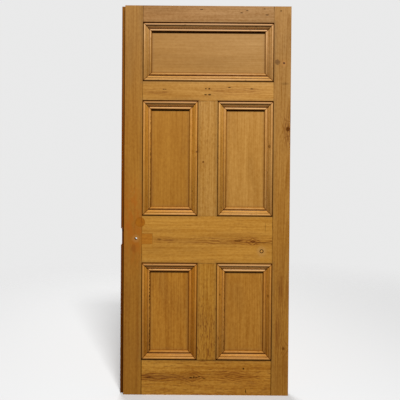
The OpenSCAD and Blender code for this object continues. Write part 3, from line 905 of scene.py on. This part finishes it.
def wear_and_light_moulding(wood, inward, bead_wear_and_highlight, ogee_light):
    """Bare wood with painted highlight on the beads, and painted light along the ogee where the lamp leaves
    it in shade.
    """
    g = wood.g
    beads = g.total(g.line(inward, *OUTER_BEAD_LINE), g.line(inward, *INNER_BEAD_LINE))
    wood.tint(g.product(beads, bead_wear_and_highlight), BARE_WOOD_AND_HIGHLIGHT)
    wood.tint(g.product(g.line(inward, *OGEE_LINE), ogee_light), OGEE_PAINTED_LIGHT)


def fill_quirks(wood, inward, heavy, outer_share, inner_share):
    """Wax, grime and painted shade in the two quirks."""
    g = wood.g
    for quirk, share in ((OUTER_QUIRK, outer_share), (INNER_QUIRK, inner_share)):
        wood.wax_and_shade(g.product(g.line(inward, quirk, *QUIRK_WAX), heavy, share))
        wood.tint(g.product(g.line(inward, quirk, *QUIRK_GRIME), heavy, share), GRIME_AND_SHADE)


def darken_crack(wood, inward, heavy, width, strength):
    """Wax, soot and painted shade in the crack between a moulding and the frame's members."""
    g = wood.g
    wood.wax_and_shade(g.fade(inward, CRACK_WAX_FULL * width * MM, (width + CRACK_WAX_REACH) * MM, strength))
    outside = g.fade(inward, CRACK_SOOT_FULL * width * MM, width * MM, strength)
    wood.tint(g.product(outside, heavy), SOOT_AND_SHADE)


def darken_inner_edge(wood, inward, heavy, reach, share):
    """Wax, grime and painted shade where a moulding meets its panel."""
    g = wood.g
    waxed_and_shaded = g.ease(inward, MOULDING_W - (reach + EDGE_WAX_REACH) * MM, MOULDING_W - EDGE_WAX_FULL * MM)
    wood.wax_and_shade(g.product(waxed_and_shaded, share))
    inside = g.ease(inward, MOULDING_W - reach * MM, MOULDING_W - EDGE_GRIME_FULL * reach * MM)
    wood.tint(g.product(inside, heavy, share), GRIME_AND_SHADE)


def moulding_wood(opening, side):
    """A length of moulding: worn, with painted highlight, on its beads, dirty and with painted shade in the
    quirks and along both edges, and dirty in the mitres.
    """
    node = f"{opening}_moulding_{side}"
    low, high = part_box(node)
    upright = side in ("left", "right")
    middle = (low + high) / 2
    seed = MOULDING_SEED + len(SIDES) * OPENINGS.index(opening) + SIDES.index(side)
    beyond, behind = MOULDING_PITH
    pith = ((middle.x if upright else middle.z) + beyond, behind)
    wood = Wood(node, upright, pith, MOULDING_TONES[opening], spacing=1.7, seed=seed, grain=0.9, wander=0.008)
    for knot in MOULDING_KNOTS.get(node, []):
        wood.knot(*knot)
    wood.grow()
    g = wood.g
    inward = from_outer_edge(wood, side, low, high)
    ends = wood.rectangle((low.x, low.z), (high.x, high.z))["Up" if upright else "Across"]
    mitre = g.minus(ends, inward)
    crack, crack_dirt_and_shade, outer_quirk, inner_quirk, inner_edge, bead_wear_and_highlight, ogee_light = MOULDING_DIRT_AND_SHADE[side]
    reach = SIDE_REACH
    if side == "top":
        reach = TOP_SHADE_AND_DIRT[opening][1]
        crack_dirt_and_shade *= TOP_SHADE_AND_DIRT[opening][2]
    heavy = g.ease(g.noise(wood.place, *MOULDING_NOISE), *MOULDING_BREAKS)
    wear_and_light_moulding(wood, inward, bead_wear_and_highlight, ogee_light)
    if side in MOULDING_AGE[opening]:
        wood.tint(1.0, MOULDING_AGE[opening][side], "MULTIPLY")
    fill_quirks(wood, inward, heavy, outer_quirk, inner_quirk)
    # Painted shade on the bottom length's inner bead, where it faces down
    if side == "bottom":
        wood.wax_and_shade(g.product(g.line(inward, *LEDGE_SHADE_LINE), heavy, LEDGE_SHADE))
    darken_crack(wood, inward, heavy, crack, crack_dirt_and_shade)
    darken_inner_edge(wood, inward, heavy, reach, inner_edge)
    wood.wax_and_shade(g.fade(mitre, *MITRE_WAX))
    wood.tint(g.fade(mitre, *MITRE_SOOT), SOOT_AND_SHADE)
    if side == "left" and opening in PITTED:
        edge = g.ease(inward, *PITTED_FADE)
        wood.pits(edge, across=260.0, along=75.0, low=0.47, strength=PITTED[opening], colour=SOOT_AND_SHADE)
    wood.flecks(1.0, strength=0.45, across=110.0, along=30.0, keep=0.2)
    wood.finish()


def add_stains(wood):
    for stain in STAINS[wood.node]:
        wood.stain(*stain)


def stile_wood(node):
    """A stile, with painted shade that darkens it towards its top to even out the key lamp's stronger light
    there.
    """
    wood = member_wood(node)
    wood.tint(wood.g.ease(wood.z, *STILE_SHADE_FADE), STILE_TOP_SHADE, "MULTIPLY")
    return wood


def lock_stile_wood():
    """The lock stile: amber round the old lock, with the pale mark of a rose round the spindle hole."""
    wood = stile_wood("lock_stile")
    g = wood.g
    patchy = g.grain(wood.place, *PATCHY)
    amber = g.product(wood.spot(*AMBER_PATCH)["Mask"], wood.front)
    wood.tint(g.product(amber, g.ease(patchy, *PATCHY_RANGE)), AMBER)
    wood.flecks(amber, strength=0.5, across=75.0, along=40.0, keep=0.5, colour=DARK_AMBER)
    wood.flecks(amber, strength=0.4, across=60.0, along=26.0, keep=0.4, colour=PALE_AMBER)
    add_stains(wood)
    wood.finish()


def strip_wood():
    """The strip on the lock edge: red-brown, darker low down, and with a painted shadow in the corner against
    the stile.
    """
    low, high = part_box("lock_edge_strip")
    wood = Wood("lock_edge_strip", True, (-0.38, 0.1), STRIP_PINE, seed=54.0)
    wood.shine = STRIP_SHINE
    wood.grow()
    g = wood.g
    wood.tint(g.fade(wood.z, *STRIP_DARK), GRIME_AND_SHADE)
    wood.tint(g.ease(wood.z, *STRIP_PALE), STRIP_TOP, "MULTIPLY")
    # Painted shadow that the front face casts into the corner of the strip
    corner = g.minus(high.x, wood.x)
    ahead = g.fade(wood.y, low.y + STRIP_FRONT[0], low.y + STRIP_FRONT[1])
    wood.tint(g.product(g.fade(corner, *STRIP_CORNER_SHADOW), ahead), GRIME_AND_SHADE)
    wood.finish()


def hinge_stile_wood():
    wood = stile_wood("hinge_stile")
    add_stains(wood)
    wood.finish()


def lock_rail_wood():
    """The lock rail: cracks, and the dark ring round the filler plug."""
    wood = member_wood("lock_rail")
    add_stains(wood)
    away = wood.spot(FILLER_X, FILLER_Z, FILLER_RING, FILLER_RING)["Distance"]
    wood.tint(wood.g.product(wood.g.line(away, *RING_ON_RAIL), wood.front, RING_STRENGTH), GRIME_AND_SHADE)
    wood.finish()


def lower_muntin_wood():
    """The lower muntin, thick with dark flecks and pits in its lower part."""
    wood = member_wood("lower_muntin")
    region = wood.g.product(wood.g.ease(wood.z, *MUNTIN_PITTED), wood.front)
    wood.flecks(region, strength=0.9, across=120.0, along=36.0, keep=0.8, colour=FLECK)
    wood.flecks(region, strength=0.95, across=75.0, along=24.0, keep=0.4, colour=FLECK)
    wood.pits(region, across=190.0, along=26.0, low=0.55, strength=0.65, colour=FLECK)
    wood.finish()


def plain_wood(node, upright, pith, seed, tone):
    wood = Wood(node, upright, pith, tone, seed=seed)
    wood.grow()
    return wood


def dress_inlays():
    """The round plug, the square patch and the filler plugs, each with a dark glue line, and the wedges."""
    low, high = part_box("handle_hole_plug")
    wood = plain_wood("handle_hole_plug", True, (-0.30, 0.1), 50.0, PLUG_PINE)
    centre, radius = (low + high) / 2 / MM, (high.x - low.x) / 2 / MM
    away = wood.spot(centre.x, centre.z, radius, radius, ragged=0.0)["Distance"]
    wood.tint(wood.g.ease(away, *PLUG_LINE), GRIME_AND_SHADE)
    wood.finish()
    low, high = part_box("lock_patch")
    wood = plain_wood("lock_patch", False, (0.7, 0.1), 51.0, PATCH_PINE)
    inwards = wood.rectangle((low.x, low.z), (high.x, high.z))["Inwards"]
    wood.tint(wood.g.fade(inwards, *PATCH_LINE), GRIME_AND_SHADE)
    wood.finish()
    wood = plain_wood("filler_plugs", True, (0.5, 0.1), 52.0, FILLER)
    add_stains(wood)
    away = wood.spot(FILLER_X, FILLER_Z, FILLER_RING, FILLER_RING, ragged=0.15)["Distance"]
    wood.tint(wood.g.line(away, *RING_ON_PLUG), GRIME_AND_SHADE)
    wood.finish()
    for node in ("lock_edge_wedges", "hinge_edge_wedges"):
        plain_wood(node, False, (0.9, 0.1), 53.0, WEDGE_PINE).finish()


def ease_edges():
    """Rounds the sharp arrises of every solid a little."""
    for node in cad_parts.values():
        weld = node.modifiers.new("weld", "WELD")
        weld.merge_threshold = 0.01 * MM
        bevel = node.modifiers.new("arris", "BEVEL")
        bevel.width = BEVEL_W
        bevel.segments = 2
        bevel.limit_method = "ANGLE"
        bevel.angle_limit = BEVEL_ANGLE
        bevel.harden_normals = True


def add_camera():
    """Fits the lens and the shift so that the leaf's top and bottom meet their places in the picture."""
    low, high = cad_box
    above = math.tan(math.atan2(high.z - CAMERA_HEIGHT, CAMERA_DISTANCE) + TILT)
    below = math.tan(math.atan2(low.z - CAMERA_HEIGHT, CAMERA_DISTANCE) + TILT)
    focal_px = (LEAF_BOTTOM_PX - LEAF_TOP_PX) / (above - below)
    data = bpy.data.cameras.new("camera")
    data.sensor_width = SENSOR
    data.lens = SENSOR * focal_px / IMAGE_SIDE
    data.shift_y = (focal_px * above - (IMAGE_SIDE / 2 - LEAF_TOP_PX)) / IMAGE_SIDE
    data.clip_start, data.clip_end = 0.05, 50.0
    camera = bpy.data.objects.new("camera", data)
    camera.location = (CAMERA_X, low.y - CAMERA_DISTANCE, CAMERA_HEIGHT)
    camera.rotation_mode = "QUATERNION"
    facing = Vector((0.0, math.cos(TILT), -math.sin(TILT)))
    camera.rotation_quaternion = facing.to_track_quat("-Z", "Y") @ Quaternion((0.0, 0.0, 1.0), ROLL)
    bpy.context.scene.collection.objects.link(camera)
    bpy.context.scene.camera = camera


def add_area(name, place, aim, size, power):
    data = bpy.data.lights.new(name, "AREA")
    data.shape = "RECTANGLE"
    data.size, data.size_y = size
    data.energy = power
    lamp = bpy.data.objects.new(name, data)
    lamp.location = place
    lamp.rotation_mode = "QUATERNION"
    lamp.rotation_quaternion = (Vector(aim) - Vector(place)).to_track_quat("-Z", "Y")
    bpy.context.scene.collection.objects.link(lamp)


def add_world():
    """Even light from all round, which the camera sees as a pale backdrop."""
    world = bpy.data.worlds.new("studio")
    bpy.context.scene.world = world
    world.use_nodes = True
    world.node_tree.nodes.clear()
    g = Graph(world.node_tree)
    seen = g.add("ShaderNodeLightPath").outputs["Is Camera Ray"]
    strength = g.math("MULTIPLY_ADD", seen, PALE - SKY_LIGHT, SKY_LIGHT)
    light = g.add("ShaderNodeBackground", {"Color": (1.0, 1.0, 1.0, 1.0), "Strength": strength})
    out = g.add("ShaderNodeOutputWorld")
    g.put(out.inputs["Surface"], light.outputs[0])


def add_floor():
    """A pale disc that fades into the pale backdrop."""
    bpy.ops.mesh.primitive_circle_add(vertices=96, radius=FLOOR_RADIUS, fill_type="NGON")
    floor = bpy.context.object
    floor.name = "floor"
    material = bpy.data.materials.new("floor")
    material.use_nodes = True
    material.node_tree.nodes.clear()
    g = Graph(material.node_tree)
    place = g.add("ShaderNodeTexCoord").outputs["Object"]
    away = g.add("ShaderNodeVectorMath", {0: place}, operation="LENGTH").outputs["Value"]
    seen = g.add("ShaderNodeLightPath").outputs["Is Camera Ray"]
    pale = g.math("MULTIPLY_ADD", seen, FLOOR_SEEN - FLOOR_BOUNCE, FLOOR_BOUNCE)
    diffuse = g.add("ShaderNodeBsdfDiffuse", {"Color": g.join(pale, pale, pale)})
    clear = g.add("ShaderNodeBsdfTransparent")
    mixed = g.add("ShaderNodeMixShader", {0: g.ease(away, *FLOOR_FADE), 1: diffuse.outputs[0],
                                          2: clear.outputs[0]})
    out = g.add("ShaderNodeOutputMaterial")
    g.put(out.inputs["Surface"], mixed.outputs[0])
    floor.data.materials.append(material)


lock_stile_wood()
strip_wood()
hinge_stile_wood()
lock_rail_wood()
lower_muntin_wood()
for name in ("top_rail", "frieze_rail", "bottom_rail", "upper_muntin"):
    member_wood(name).finish()
for opening in OPENINGS:
    panel_wood(opening)
    for side in SIDES:
        moulding_wood(opening, side)
dress_inlays()
ease_edges()
add_camera()
add_area("key", KEY_PLACE, KEY_AIM, KEY_SIZE, KEY_POWER)
add_area("back_fill", BACK_PLACE, BACK_AIM, BACK_SIZE, BACK_POWER)
add_world()
add_floor()
bpy.context.scene.view_settings.view_transform = "Standard"
